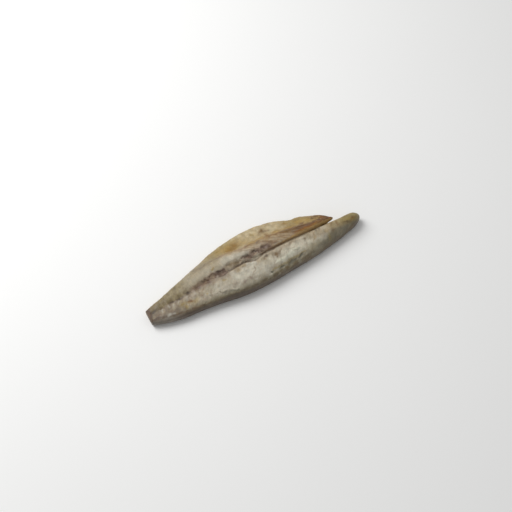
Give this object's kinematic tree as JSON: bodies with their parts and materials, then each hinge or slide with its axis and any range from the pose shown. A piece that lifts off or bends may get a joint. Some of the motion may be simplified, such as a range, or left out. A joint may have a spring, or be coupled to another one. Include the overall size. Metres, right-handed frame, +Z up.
{
  "type": "smoked fish fillet",
  "caption": "Long smoked fish fillet lying skin down: a plump ridged back loin beside a thinner belly flap that tapers to a point, split apart towards the head end.",
  "frame": {"origin": "on the surface that the fillet lies on, under the middle of its bounding box", "axes": "+X from the cut tail end to the head end, +Y from the back edge to the belly edge, +Z up out of the flesh side"},
  "size_m": [0.197, 0.053, 0.0171],
  "materials": {
    "flesh": "moist smoked flesh, cream and tan, with a satin skin below"
  },
  "bodies": {
    "root": {"fillet": "flesh"}
  },
  "joints": []
}
